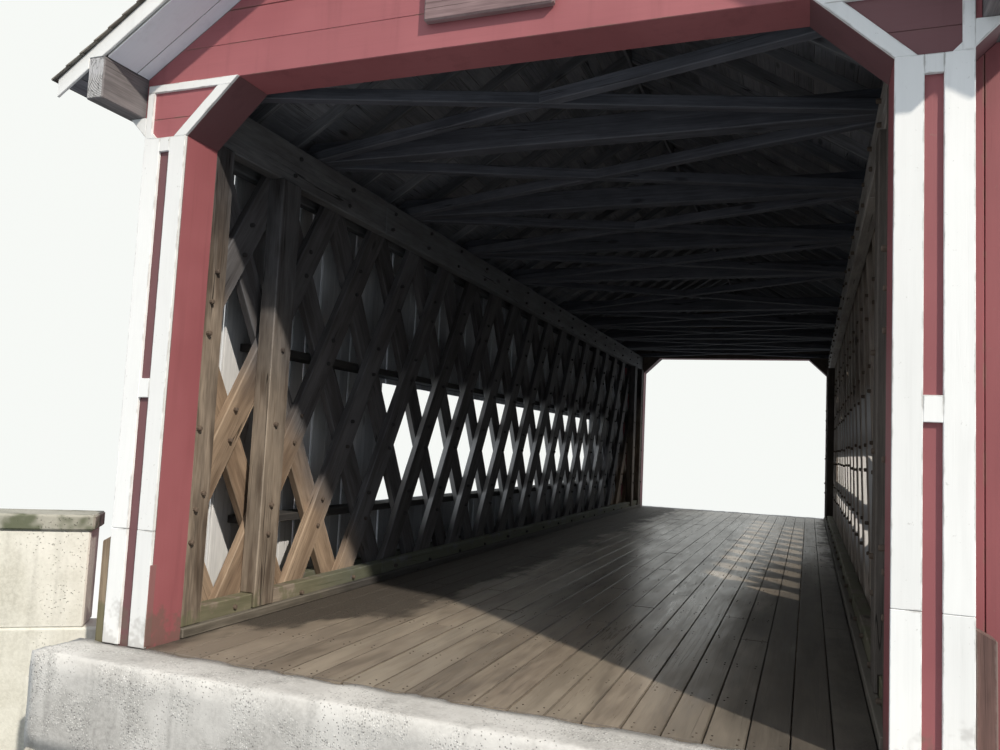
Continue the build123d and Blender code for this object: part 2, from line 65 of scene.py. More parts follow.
def solids_of(node):
    """The separate solids of a node of the frame, each with whole flat faces."""
    whole = bmesh.new()
    whole.from_mesh(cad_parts[node].data)
    bmesh.ops.remove_doubles(whole, verts=whole.verts, dist=1e-5)
    bmesh.ops.dissolve_limit(whole, angle_limit=0.01, verts=whole.verts, edges=whole.edges)
    solids, seen = [], set()
    for start in whole.verts:
        if start in seen:
            continue
        group, queue = [], [start]
        seen.add(start)
        while queue:
            vert = queue.pop()
            group.append(vert)
            for other in (edge.other_vert(vert) for edge in vert.link_edges):
                if other not in seen:
                    seen.add(other)
                    queue.append(other)
        solid = bmesh.new()
        twin = {vert: solid.verts.new(vert.co) for vert in group}
        for face in sorted({face for vert in group for face in vert.link_faces}, key=face_place):
            solid.faces.new([twin[vert] for vert in face.verts])
        bmesh.ops.recalc_face_normals(solid, faces=solid.faces)
        solids.append(solid)
    whole.free()
    solids.sort(key=lambda solid: [round(c, 3) for corner in extent(solid) for c in corner])
    return solids


def extent(solid):
    """Lowest and highest corner of a solid."""
    corners = [vert.co for vert in solid.verts]
    low = Vector(min(c[k] for c in corners) for k in range(3))
    high = Vector(max(c[k] for c in corners) for k in range(3))
    return low, high


def cut_across(solid, point, normal, **settings):
    """Cuts the faces of a solid where a plane crosses them."""
    return bmesh.ops.bisect_plane(
        solid, geom=solid.verts[:] + solid.edges[:] + solid.faces[:], plane_co=point, plane_no=normal, **settings)


def grain_axes(solid, along=None):
    """Directions along, across and through a piece: its longest edge and its widest face."""
    if along is None:
        longest = max(solid.edges, key=lambda edge: round(edge.calc_length(), 4))
        along = (longest.verts[1].co - longest.verts[0].co).normalized()
    if sum(along) < 0:
        along = -along
    level = [face for face in solid.faces if abs(face.normal.dot(along)) < 0.3]
    widest = max(level, key=lambda face: round(face.calc_area(), 4))
    through = (widest.normal - along * widest.normal.dot(along)).normalized()
    return along, through.cross(along), through


def shown(name, data):
    """A new object in the scene."""
    made = bpy.data.objects.new(name, data)
    bpy.context.scene.collection.objects.link(made)
    return made


def new_piece(name, node, materials, points, faces, places=None, slots=None, smooth=False):
    """A piece that stands for its node. Places are the grain, half size and tone of its points."""
    mesh = bpy.data.meshes.new(name)
    mesh.from_pydata(points, [], faces)
    for label, values in (places or {}).items():
        kind, field = ("FLOAT", "value") if label == "tone" else ("FLOAT_VECTOR", "vector")
        mesh.attributes.new(label, kind, "POINT").data.foreach_set(field, values)
    for material in materials:
        mesh.materials.append(material)
    if slots:
        mesh.polygons.foreach_set("material_index", slots)
    mesh.polygons.foreach_set("use_smooth", [smooth] * len(faces))
    mesh.update()
    piece = shown(name, mesh)
    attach(piece, "root")
    if node:
        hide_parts(node)


def laid(name, node, materials, solids=None, cuts=None, bevel=0.003, wobble=0.004, step=0.6,
         along=None, pick=None, smooth=False):
    """Joins worked solids, or else those of the node, into one piece that stands for it.

    Cuts are a direction, the places to saw at and the gap. Each board gets eased arrises
    and a slight unevenness, and carries its own grain: the place along, across and through
    it, half its size, and a tone of its own.
    """
    chance = random.Random(name)
    points, faces, slots = [], [], []
    places = {"grain": [], "half": [], "tone": []}
    solids = solids or solids_of(node)
    for solid in sawn(solids, *cuts) if cuts else solids:
        axes = grain_axes(solid, along)
        spans = [[vert.co.dot(axis) for vert in solid.verts] for axis in axes]
        middle = [(min(span) + max(span)) / 2 for span in spans]
        size = [(max(span) - min(span)) / 2 for span in spans]
        if bevel:
            bmesh.ops.bevel(
                solid, geom=solid.edges[:], offset=min(bevel, min(size) * 0.4), segments=1,
                affect="EDGES", clamp_overlap=True)
        pieces = int(2 * size[0] / step) + 1
        for k in range(1, pieces):
            cut_across(solid, axes[0] * (middle[0] + size[0] * (2 * k / pieces - 1)), axes[0])
        own = chance.random()
        start = len(points)
        solid.verts.index_update()
        for vert in solid.verts:
            local = [vert.co.dot(axes[k]) - middle[k] for k in range(3)]
            sway = Vector((local[0] * 0.9 + own * 91, local[1] * 2.5, local[2] * 2.5))
            move = noise.noise_vector(sway) * wobble
            point = vert.co + axes[1] * move.y + axes[2] * move.z + axes[0] * move.x * 0.5
            point.z = max(point.z, 0.0)
            points.append(point)
            places["grain"].extend(local)
            places["half"].extend(size)
            places["tone"].append(own)
        for face in solid.faces:
            faces.append([start + vert.index for vert in face.verts])
            slots.append(pick(face.normal, face.calc_center_median()) if pick else 0)
        solid.free()
    new_piece(name, node, materials, points, faces, places, slots, smooth)


class Wire:
    """An output in a shader tree. Arithmetic on wires adds the nodes for it."""

    def __init__(self, socket):
        self.socket, self.tree = socket, socket.id_data

    def math(self, operation, *others):
        return put(self.tree, "Math", dict(enumerate((self, *others))), operation=operation)[0]

    def __add__(self, other):
        return self.math("ADD", other)

    def __sub__(self, other):
        return self.math("SUBTRACT", other)

    def __rsub__(self, other):
        return put(self.tree, "Math", {0: other, 1: self}, operation="SUBTRACT")[0]

    def __mul__(self, other):
        return self.math("MULTIPLY", other)

    def __abs__(self):
        return self.math("ABSOLUTE")

    def most(self, other):
        return self.math("MAXIMUM", other)

    def ramp(self, low, high, start=0.0, end=1.0):
        limits = {"Value": self, "From Min": low, "From Max": high, "To Min": start, "To Max": end}
        return put(self.tree, "MapRange", limits, interpolation_type="SMOOTHSTEP")[0]

    def between(self, first, second):
        """The mix of two colours that has this share of the second."""
        return put(self.tree, "Mix", {0: self, 6: first, 7: second}, data_type="RGBA")[2]

    def vector(self, operation, *others):
        return put(self.tree, "VectorMath", dict(enumerate((self, *others))), operation=operation)

    def parts(self):
        split = put(self.tree, "SeparateXYZ", {0: self})
        return split[0], split[1], split[2]

    def noise(self, scale, detail=4.0, rough=0.55):
        """Noise at one scale, or at a scale for each axis."""
        place = self
        if isinstance(scale, tuple):
            place, scale = put(self.tree, "Mapping", {"Vector": self, "Scale": scale})[0], 1.0
        return put(self.tree, "TexNoise", {
            "Vector": place, "Scale": scale, "Detail": detail, "Roughness": rough})["Fac"]


def feed(made, inputs):
    """Links each wire to its input of a node, and sets the plain values."""
    for key, value in inputs.items():
        socket = made.inputs[key]
        if isinstance(value, Wire):
            made.id_data.links.new(value.socket, socket)
        elif socket.type == "RGBA" and len(value) == 3:
            socket.default_value = (*value, 1)
        else:
            socket.default_value = value


def put(tree, kind, inputs=None, **settings):
    """Adds a node and gives its outputs, by number and by name."""
    made = tree.nodes.new("ShaderNode" + kind)
    for key, value in settings.items():
        setattr(made, key, value)
    feed(made, inputs or {})
    wires = {}
    for k, socket in enumerate(made.outputs):
        wires[k] = wires[socket.name] = Wire(socket)
    return wires


def new_group(name, inputs):
    """Starts a group of shader nodes, and gives its tree and its inputs. None is a vector."""
    tree = bpy.data.node_groups.new(name, "ShaderNodeTree")
    for label, value in inputs.items():
        kind = "NodeSocketVector" if value is None else "NodeSocketFloat"
        socket = tree.interface.new_socket(label, in_out="INPUT", socket_type=kind)
        if value is not None:
            socket.default_value = value
    given = tree.nodes.new("NodeGroupInput").outputs
    return tree, {label: Wire(given[label]) for label in inputs}


def close_group(tree, **masks):
    for label in masks:
        tree.interface.new_socket(label, in_out="OUTPUT", socket_type="NodeSocketFloat")
    feed(tree.nodes.new("NodeGroupOutput"), masks)


# Wear of an edge: the nearest arris of the piece, broken up by noise.
arris_wear, given = new_group("arris wear", {"Grain": None, "Half size": None, "Tone": 0.0, "Width": 0.01})
from_sides = given["Half size"].vector("SUBTRACT", given["Grain"].vector("ABSOLUTE")[0])[0].parts()
nearer = from_sides[0].math("MINIMUM", from_sides[1])
further = from_sides[0].most(from_sides[1])
from_arris = nearer.most(further.math("MINIMUM", from_sides[2]))
ragged = given["Grain"].vector("ADD", given["Tone"])[0].noise(22.0, 2.0, 0.7) * 1.8
limit = given["Width"] * ragged
close_group(arris_wear, Edge=1.0 - from_arris.ramp(limit * 0.3, limit))

# Growth and grime: patches that thicken below a level.
damp_growth, given = new_group("damp growth", {"Level": 0.0, "Reach": 1.0, "Cover": 0.5, "Patch": 1.5})
where = put(damp_growth, "NewGeometry")["Position"]
low_down = where.parts()[2].ramp(given["Level"], given["Level"] + given["Reach"], 1.0, 0.0)
edge_low = 0.78 - given["Cover"] * low_down * 0.5
close_group(damp_growth, Mask=where.noise(given["Patch"], 3.0, 0.75).ramp(edge_low, edge_low + 0.14))


def dim(colour, share):
    """A colour at a share of its brightness."""
    return tuple(c * share for c in colour)


class Surface:
    """A material under way. Its colour is laid on in coats, from the ground up."""

    def __init__(self, name):
        self.material = bpy.data.materials.new(name)
        self.material.use_nodes = True
        self.tree = self.material.node_tree
        self.shader = self.tree.nodes["Principled BSDF"]
        self.where, self.normal = (put(self.tree, "NewGeometry")[key] for key in ("Position", "Normal"))
        self.grain, self.half, self.tone = (
            put(self.tree, "Attribute", attribute_name=label)[key]
            for label, key in (("grain", "Vector"), ("half", "Vector"), ("tone", "Fac")))
        self.colour = None

    def lay(self, share, colour, kind="MIX"):
        inputs = {0: share, 6: self.colour, 7: colour}
        self.colour = put(self.tree, "Mix", inputs, data_type="RGBA", blend_type=kind)[2]

    def shade(self, value):
        """Darkens or lightens the whole colour."""
        self.lay(1.0, put(self.tree, "CombineColor", {0: value, 1: value, 2: value})[0], "MULTIPLY")

    def arris(self, width):
        inputs = {"Grain": self.grain, "Half size": self.half, "Tone": self.tone, "Width": width}
        return put(self.tree, "Group", inputs, node_tree=arris_wear)["Edge"]

    def growth(self, level, reach, cover, patch):
        inputs = {"Level": level, "Reach": reach, "Cover": cover, "Patch": patch}
        return put(self.tree, "Group", inputs, node_tree=damp_growth)["Mask"]

    def finish(self, roughness, height, depth, specular=0.3):
        bump = put(self.tree, "Bump", {"Height": height, "Distance": depth, "Strength": 0.9})[0]
        feed(self.shader, {
            "Base Color": self.colour, "Normal": bump, "Roughness": roughness, "Specular IOR Level": specular})
        return self.material


def concrete(name, pale, dark, moss, moss_level, moss_reach, cover, boards=0.0, gravel=0.0):
    """Cast concrete with stains, pores, worn arrises, growth and its board marks or gravel."""
    stone = Surface(name)
    clouds = stone.where.noise(1.3, 3.0, 0.65)
    fine = stone.where.noise(38.0, 3.0, 0.72)
    stone.colour = dark
    stone.lay(clouds.ramp(0.34, 0.68), pale)
    streaks = stone.where.noise((5.0, 5.0, 0.35), 3.0, 0.62)
    stone.lay(streaks.ramp(0.52, 0.72, 0.0, 0.45), dim(dark, 0.45))
    stone.lay(fine.ramp(0.3, 0.7, 0.0, 0.35), dim(pale, 1.15))
    pores = put(stone.tree, "TexVoronoi", {"Vector": stone.where, "Scale": 46.0})["Distance"]
    holes = pores.ramp(0.1, 0.24, 1.0, 0.0) * clouds.ramp(0.5, 0.6)
    height = fine * 0.35 - holes
    stone.lay(holes * 0.6, dim(dark, 0.3))
    if boards:
        lines = stone.where.parts()[2].math("PINGPONG", boards / 2).ramp(0.0, 0.008, 1.0, 0.0)
        height = height + lines * 1.4
        stone.lay(lines * 0.35, dim(dark, 0.5))
    if gravel:
        swirl = put(stone.tree, "TexNoise", {"Vector": stone.where, "Scale": 90.0})["Color"]
        torn = put(stone.tree, "Mix", {0: 0.012, 4: stone.where, 5: swirl}, data_type="VECTOR")[1]
        stones = put(stone.tree, "TexVoronoi", {"Vector": torn, "Scale": gravel, "Randomness": 1.0})
        tint = stones["Color"].parts()[0].between((0.1, 0.098, 0.095), (0.78, 0.77, 0.74))
        bare = stones["Distance"].ramp(0.25, 0.5, 1.0, 0.0) * stone.where.noise(3.2).ramp(0.42, 0.56)
        stone.lay(bare * 0.75, tint)
        height = height + bare * 0.35
    stone.lay(stone.arris(0.035) * 0.4, dim(pale, 1.1))
    stone.lay(stone.growth(moss_level, moss_reach, cover, 2.3) * 0.8, moss)
    return stone.finish(fine.ramp(0.2, 0.8, 0.78, 0.95), height, 0.006)


MOSS = (0.085, 0.105, 0.045)
cast_concrete = concrete(
    "board marked concrete", (0.44, 0.42, 0.37), (0.27, 0.25, 0.22), MOSS,
    moss_level=0.0, moss_reach=1.9, cover=0.75, boards=0.3)
laid("abutment_walls", "abutments", [cast_concrete], bevel=0.02, wobble=0.012, step=0.45, along=X)

# --------------------
# Backwalls: the strip of concrete that closes each deck end. Its top is flush with the
# planks, worn down to the gravel, and its arrises have crumbled.

strip = concrete(
    "worn concrete strip", (0.58, 0.57, 0.55), (0.36, 0.35, 0.335), MOSS,
    moss_level=0.5, moss_reach=2.3, cover=0.45, gravel=70.0)
SKIN = 0.004  # how near a side its points lie
for end, solid in zip(("near", "far"), solids_of("backwalls")):
    for axis, spacing in ((X, 0.06), (Y, 0.05), (Z, 0.1)):
        low, high = (corner.dot(axis) for corner in extent(solid))
        for k in range(1, int((high - low) / spacing)):
            cut_across(solid, axis * (low + k * spacing), axis)
    low, high = extent(solid)
    for vert in solid.verts:
        sides = sum(min(vert.co[k] - low[k], high[k] - vert.co[k]) < SKIN for k in range(3))
        crumble = 0.016 * max(0.0, 0.35 + noise.noise(vert.co * 7)) if sides > 1 else 0.0
        vert.co.z -= 0.004 * abs(noise.noise(vert.co * 11)) + crumble
        vert.co.y -= math.copysign(crumble, vert.co.y - (low.y + high.y) / 2)
    laid("backwall_" + end, "backwalls", [strip], [solid],
         bevel=0, wobble=0.0015, step=50, along=X, smooth=True)

# --------------------
# Wing walls: flared retaining walls with an upstand, limewashed white above the ground
# and green at the foot. A cast cap with a lip lies on each upstand.

limewash = concrete(
    "worn limewash", (0.66, 0.655, 0.6), (0.47, 0.46, 0.4), (0.16, 0.17, 0.09),
    moss_level=0.0, moss_reach=2.6, cover=0.8)
capstone = concrete(
    "mossy cap", (0.34, 0.335, 0.29), (0.19, 0.19, 0.155), (0.06, 0.075, 0.035),
    moss_level=3.2, moss_reach=1.2, cover=1.05)
laid("wing_wall_faces", "wing_walls", [limewash], bevel=0.015, wobble=0.008, step=0.35)
laid("wing_wall_parapets", "parapets", [limewash], bevel=0.012, wobble=0.006, step=0.25)
laid("wing_wall_caps", "parapet_caps", [capstone], bevel=0.014, wobble=0.006, step=0.12)

# --------------------
# Bearing timbers: squared oak stacked on the bridge seats under the truss ends, and a
# sill under each deck end. The wood is rough sawn and has dried out to grey-brown.


def sawn(solids, direction, cuts, gap=0.003):
    """The solids cut into boards at these places along a direction."""
    boards = []
    for solid in solids:
        spans = [vert.co.dot(direction) for vert in solid.verts]
        low, high = min(spans), max(spans)
        inner = [cut for cut in cuts if low + 0.03 < cut < high - 0.03]
        places = [low - 1] + inner + [high + 1]
        for start, end in zip(places, places[1:]):
            board = solid.copy()
            for place, keep in ((start + gap / 2, direction), (end - gap / 2, -direction)):
                cut = cut_across(board, direction * place, keep, clear_inner=True)
                rim = [item for item in cut["geom_cut"] if isinstance(item, bmesh.types.BMEdge)]
                if rim:
                    bmesh.ops.edgenet_fill(board, edges=rim)
            bmesh.ops.recalc_face_normals(board, faces=board.faces)
            boards.append(board)
        solid.free()
    return boards


# Sawn grain: streaks and blotches along the piece, drying checks and knots.
sawn_grain, given = new_group("sawn grain", {"Grain": None, "Tone": 0.0, "Checks": 1.0})
seed = given["Tone"] * 83.0
offset = put(sawn_grain, "CombineXYZ", {0: seed, 1: seed * 0.37, 2: seed})[0]
own = given["Grain"].vector("ADD", offset)[0]
wide = put(sawn_grain, "Mapping", {"Vector": own, "Scale": (1.1, 3.4, 3.4)})[0]
knots = put(sawn_grain, "TexVoronoi", {"Vector": wide, "Scale": 1.0})["Distance"]
blotch = own.noise((1.6, 6.0, 6.0), 3.0, 0.72)
streak = own.noise((0.9, 38.0, 38.0), 3.0, 0.76)
fibre = own.noise((7.0, 230.0, 230.0), 1.0, 0.6)
split = own.noise((0.3, 14.0, 14.0), 1.0, 0.5)
thin = abs(split - 0.5).ramp(0.002, 0.008, 1.0, 0.0)
here = own.noise((1.4, 5.0, 5.0), 0.0).ramp(0.5, 0.58)
check = thin * here * given["Checks"]
drips = own.noise((0.8, 5.5, 5.5), 3.0, 0.65)
close_group(
    sawn_grain, Streaks=blotch * 0.42 + (streak * 0.38 + fibre * 0.2), Checks=check,
    Knots=knots.ramp(0.05, 0.12, 1.0, 0.0), Stains=(streak * 0.35 + drips * 0.65).ramp(0.46, 0.57),
    Relief=streak * 0.4 - check * 0.9)

# Interior shade: a mask that grows further into the bridge and higher above the deck, and
# stays weak on the right. Multiplied into wood it is painted shade, darker on the left than on the right.
# The paler wood low down near the portals, where sun and rain come in, is real bleaching.
TRUSS_END = 8.63
interior_shade, given = new_group("interior_shade", {"Near": 1.3, "Far": 2.4})
where = put(interior_shade, "NewGeometry")["Position"]
across, along, rise = where.parts()
inland = (TRUSS_END - abs(along)) * 0.9
depth = inland + (rise - DECK).most(0.0) + where.noise(1.7, 3.0) * 0.8 - 0.4
close_group(interior_shade, Mask=depth.ramp(given["Near"], given["Far"]) * across.ramp(-0.5, 0.5, 1.0, 0.1))


def marks_of(surface, checks):
    """The streaks, checks, knots, stains and relief of the sawn grain."""
    inputs = {"Grain": surface.grain, "Tone": surface.tone, "Checks": checks}
    return put(surface.tree, "Group", inputs, node_tree=sawn_grain)


def timber(name, dark, light, weathered, checks=1.0, moss_level=None, cover=0.6, dust=0.0, tones=0.5,
           stains=0.0, shade_tint=None, reach=(1.3, 2.4), window_light=None):
    """Old sawn wood. Its streaks run from dark to light, and its arrises have weathered.

    Between two given levels, beside the long window, the sides of its pieces that do not face
    across the bridge are lightened: painted light from the window.
    """
    wood = Surface(name)
    marks = marks_of(wood, checks)
    wood.colour = dark
    wood.lay(marks["Streaks"].ramp(0.36, 0.66), light)
    own = (wood.tone * 7.31).math("FRACT")
    wood.lay(own * tones, marks["Streaks"].between(light, weathered))
    wood.shade(wood.tone.ramp(0.0, 1.0, 1.0 - tones * 0.4, 1.0 + tones * 0.25))
    wood.lay(wood.arris(0.016) * 0.3, weathered)
    wood.lay(marks["Knots"] * 0.7, dim(dark, 0.35))
    wood.lay(marks["Checks"] * 0.8, dim(dark, 0.14))
    if stains:
        wood.lay(marks["Stains"] * stains, (0.4, 0.36, 0.34), "MULTIPLY")
    if dust:
        wood.lay(wood.normal.parts()[2].ramp(0.5, 0.9) * dust, (0.22, 0.2, 0.17))
    # Painted shade: the interior shade mask multiplies the colour by this cool tint, deeper in the bridge.
    if shade_tint:
        inputs = {"Near": reach[0], "Far": reach[1]}
        wood.lay(put(wood.tree, "Group", inputs, node_tree=interior_shade)["Mask"], shade_tint, "MULTIPLY")
    # Painted light: window light laid on the plank sides in the band of the long window.
    if window_light:
        low, high = window_light
        along, rise = wood.where.parts()[1:]
        band = rise.ramp(low - 0.3, low) * rise.ramp(high, high + 0.2, 1.0, 0.0)
        open_side = abs(wood.normal.parts()[0]).ramp(0.3, 0.7, 1.0, 0.0) * abs(along).ramp(4.7, 5.3, 1.0, 0.0)
        wood.lay(band * open_side, (0.46, 0.45, 0.44))
    if moss_level is not None:
        wood.lay(wood.growth(moss_level, 0.5, cover, 4.0) * 0.6, (0.105, 0.115, 0.06))
    return wood.finish(marks["Streaks"].ramp(0.3, 0.7, 0.74, 0.9), marks["Relief"], 0.003, 0.22)


OAK = (0.105, 0.072, 0.05), (0.27, 0.19, 0.13), (0.34, 0.28, 0.22)
bearing_oak = timber("bearing timber", *OAK, moss_level=2.4, cover=0.8, dust=0.4)
COURSE = 0.23  # height of each timber in a stack
bed_joints = [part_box("bed_timbers")[0].z + COURSE]
laid("bearing_timbers", "bed_timbers", [bearing_oak], cuts=(Z, bed_joints), bevel=0.01, step=0.4)

# --------------------
# Floor beams: heavy cross timbers, notched down at the ends to pass under the trusses.
# They hang from the lower chords and carry the deck planks.

beam_oak = timber("floor beam timber", *OAK, moss_level=2.2, cover=0.5, dust=0.3)
laid("floor_beam_timbers", "floor_beams", [beam_oak], bevel=0.01, step=0.5, along=X)

# --------------------
# Deck: sawn planks laid along the bridge and nailed to every floor beam, two nails to an
# edge. Wheels have worn them grey-brown, and grit lies along the left curb.

PLANK = 0.2171
BEAM_SPACING = 0.9
chance = random.Random("deck")
edges = [(k - 10.5) * PLANK for k in range(22)]
joint_rows = [k * BEAM_SPACING for k in range(-8, 9)]
planks = []
previous = set()
for strip_board in sawn(solids_of("deck"), X, edges, 0.007):
    first = chance.choice([k for k in range(0, 6) if k not in previous])
    rows, previous = [], {first}
    while first < len(joint_rows):
        rows.append(joint_rows[first])
        first += chance.choice((4, 5, 6, 7))
    planks += sawn([strip_board], Y, rows, 0.006)
for plank in planks:  # no two planks lie quite level
    drop = chance.uniform(0.0, 0.004)
    for vert in plank.verts:
        vert.co.z -= drop if vert.co.z > DECK - 0.01 else 0.0

WHEEL_TRACK = 0.82  # from the middle to each wheel's track
deck = Surface("worn deck planks")
marks = marks_of(deck, 0.5)
across, along = deck.where.parts()[:2]
deck.colour = (0.175, 0.14, 0.11)
deck.lay(marks["Streaks"].ramp(0.36, 0.64), (0.32, 0.265, 0.208))
deck.lay((deck.tone * 5.77).math("FRACT") * 0.4, (0.285, 0.255, 0.205))
deck.shade(deck.tone.ramp(0.0, 1.0, 0.82, 1.1))
scuffs = deck.where.noise((2.4, 0.5, 1.0), 3.0, 0.68)
polish = abs(abs(across) - WHEEL_TRACK).ramp(0.15, 0.75, 1.0, 0.25) * scuffs.ramp(0.35, 0.65)
deck.lay(polish * 0.45, (0.375, 0.32, 0.255))
deck.lay(scuffs.ramp(0.48, 0.36, 0.0, 0.35), (0.1, 0.085, 0.072))
side = across + scuffs * 1.2
dull_left = side.ramp(0.5, -0.8, 0.0, 0.5)
# Near the portal on the right the deck is made rougher and darkened to about a third: the darkening is painted shade.
dull_shaded_right = side.ramp(1.55, 2.45) * along.ramp(-3.5, 1.5, 1.0, 0.3)
deck.lay(dull_shaded_right, (0.36, 0.37, 0.38), "MULTIPLY")
deck.lay(marks["Stains"] * 0.35, (0.45, 0.42, 0.4), "MULTIPLY")
deck.lay(deck.arris(0.009) * 0.7, (0.06, 0.05, 0.042))
deck.lay(marks["Checks"] * 0.6, (0.04, 0.032, 0.026))
drift = deck.where.noise((1.8, 0.9, 1.0), 3.0, 0.78)
near_left = drift * 1.5 - across
bare_end = along.ramp(-8.5, -7.4, 0.4, 0.0) - along.ramp(-7.9, -7.0, 0.0, 0.5)
left_soil = (near_left - bare_end).ramp(2.36, 2.72)
soil = left_soil.most((across + drift * 0.9).ramp(2.5, 2.8))
deck.lay(near_left.ramp(2.1, 2.7, 0.0, 0.6), (0.215, 0.178, 0.145))
crumbs = deck.where.noise(70.0, 3.0, 0.75)
deck.lay(soil * 0.9, crumbs.ramp(0.45, 0.66).between((0.026, 0.022, 0.019), (0.08, 0.066, 0.052)))
rough = soil.most(dull_shaded_right).most(dull_left) * 0.38 + (
    marks["Streaks"].ramp(0.3, 0.7, 0.27, 0.42) - polish * 0.06)
worn_deck = deck.finish(rough, marks["Relief"] + soil * crumbs * 1.6, 0.0025, 0.5)
laid("deck_planks", "deck", [worn_deck], planks, bevel=0.004, wobble=0.0015, step=0.9, along=Y)


def studs(name, heads, material, sides=8):
    """Short round heads: each is a foot, a direction, a radius and a length."""
    chance = random.Random(name)
    points, faces = [], []
    for foot, out, radius, length in heads:
        side = out.orthogonal().normalized()
        other = out.cross(side)
        spin = chance.uniform(0, math.tau)
        lean = (side * chance.uniform(-1, 1) + other * chance.uniform(-1, 1)) * length * 0.08
        start = len(points)
        for share, size in ((-0.3, 1.0), (0.8, 1.0), (1.0, 0.7)):
            for k in range(sides):
                turn = spin + math.tau * k / sides
                rim = (side * math.cos(turn) + other * math.sin(turn)) * radius * size
                points.append(foot + out * length * share + rim + lean * share)
        for ring in range(2):
            for k in range(sides):
                a, b = start + ring * sides + k, start + ring * sides + (k + 1) % sides
                faces.append((a, b, b + sides, a + sides))
        faces.append([start + 2 * sides + k for k in range(sides)])
    new_piece(name, None, [material], points, faces)


# Old iron, with rust in patches.
iron = Surface("worn nail iron")
rust = iron.where.noise(60.0, 5.0, 0.7)
iron.colour = (0.06, 0.055, 0.05)
iron.lay(rust.ramp(0.42, 0.6), (0.055, 0.034, 0.022))
feed(iron.shader, {"Metallic": rust.ramp(0.42, 0.6, 0.6, 0.1)})
nail_iron = iron.finish(0.6, rust, 0.001, 0.4)
HEAD_RADIUS, HEAD_HEIGHT, SUNK = 0.0062, 0.0026, 0.003
END_ROWS = [-8.86, 8.86]
nails = []
for row in [k * BEAM_SPACING for k in range(-9, 10)] + END_ROWS:
    for k in range(21):
        for share in (-0.29, 0.29):  # of a plank's width
            for shift in (-0.035, 0.035):
                x = (k - 10) * PLANK + share * PLANK + chance.uniform(-0.008, 0.008)
                y = row + shift + chance.uniform(-0.014, 0.014)
                nails.append((Vector((x, y, DECK - SUNK)), Z, HEAD_RADIUS, HEAD_HEIGHT))
studs("deck_nails", nails, nail_iron, sides=6)

# --------------------
# Curbs: a low sawn timber along each edge of the deck, in lengths that butt end to end.
# Road dirt has turned them grey.

curb_wood = timber(
    "curb timber", (0.06, 0.052, 0.042), (0.15, 0.132, 0.108), (0.22, 0.2, 0.17),
    moss_level=3.0, cover=0.35, dust=0.2, shade_tint=(0.45, 0.48, 0.56), reach=(1.2, 2.6))
curb_joints = [-5.4, -1.8, 2.7, 6.3]
laid("curb_timbers", "curbs", [curb_wood], cuts=(Y, curb_joints, 0.004),
     bevel=0.006, wobble=0.003, step=0.45)

# --------------------
# Lattice: two layers of sawn planks a side, which cross at five rows between the chords.
# Treenails of turned oak hold every crossing, and their heads stand proud.

# The last setting lightens plank sides beside the long window: painted light.
LATTICE = dict(moss_level=2.75, cover=0.75, tones=0.45, stains=0.6, window_light=(3.6, 5.15))
lattice_wood = timber(
    "lattice timber", (0.14, 0.098, 0.068), (0.345, 0.25, 0.175), (0.42, 0.34, 0.26),
    shade_tint=(0.38, 0.5, 0.74), reach=(2.3, 3.1), **LATTICE)
# A lighter copy for the right wall, standing for the light it gets through the window opposite: painted light.
window_lit_lattice_wood = timber(
    "pale lattice timber", (0.24, 0.202, 0.172), (0.52, 0.442, 0.372), (0.56, 0.5, 0.44), **LATTICE)
for side, wood in (("right", window_lit_lattice_wood), ("left", lattice_wood)):
    for layer in ("inner", "outer"):
        node = f"{side}_{layer}_lattice"
        laid(node + "_planks", node, [wood], bevel=0.006, wobble=0.005, step=0.5)

MODULE, SHIFT, ROW = 0.906, 0.133, 0.768  # of the crossings: spacing, shift and rise
LOWER_CHORD = DECK + 0.01
LATTICE_IN, CHORD_IN, POST_IN = 2.46, 2.34, 2.31  # inner faces, from the middle of the road
PEG_RADIUS = 0.019
peg_wood = timber(
    "treenail oak", (0.05, 0.036, 0.027), (0.14, 0.1, 0.075), (0.19, 0.15, 0.12),
    tones=0.2, shade_tint=(0.3, 0.38, 0.52), reach=(2.2, 3.7))


def pegged(foot, sign, looseness, shortest, longest):
    """A treenail that stands in from one side of the bridge, a little out of place."""
    jitter = Vector((0, chance.uniform(-looseness, looseness), chance.uniform(-looseness, looseness)))
    return Vector(foot) + jitter, Vector((-sign, 0, 0)), PEG_RADIUS, chance.uniform(shortest, longest)


chance = random.Random("treenails")
pegs = []
for row in range(6):
    at_chord = row in (0, 5)
    face, spread = (CHORD_IN, 0.7) if at_chord else (LATTICE_IN, 1.0)
    for k in range(-12, 12):
        y = SHIFT + (k + row / 2) * MODULE
        if abs(y) > TRUSS_END - 0.07:
            continue
        for rise, lean in ((-0.13, -0.028), (0.13, 0.028)):  # two to a crossing
            level = LOWER_CHORD + row * ROW + rise * spread
            pegs += [pegged((sign * face, y + lean, level), sign, 0.02, 0.018, 0.036) for sign in (-1, 1)]
studs("treenails", pegs, peg_wood)

# --------------------
# Chords: pairs of long planks on both faces of the lattice, joined end to end in
# staggered butt joints.

chord_wood = timber(
    "chord timber", (0.125, 0.1, 0.08), (0.28, 0.23, 0.18), (0.34, 0.3, 0.25),
    moss_level=3.05, cover=1.0, stains=0.4, shade_tint=(0.62, 0.76, 1.0), reach=(1.2, 2.6))
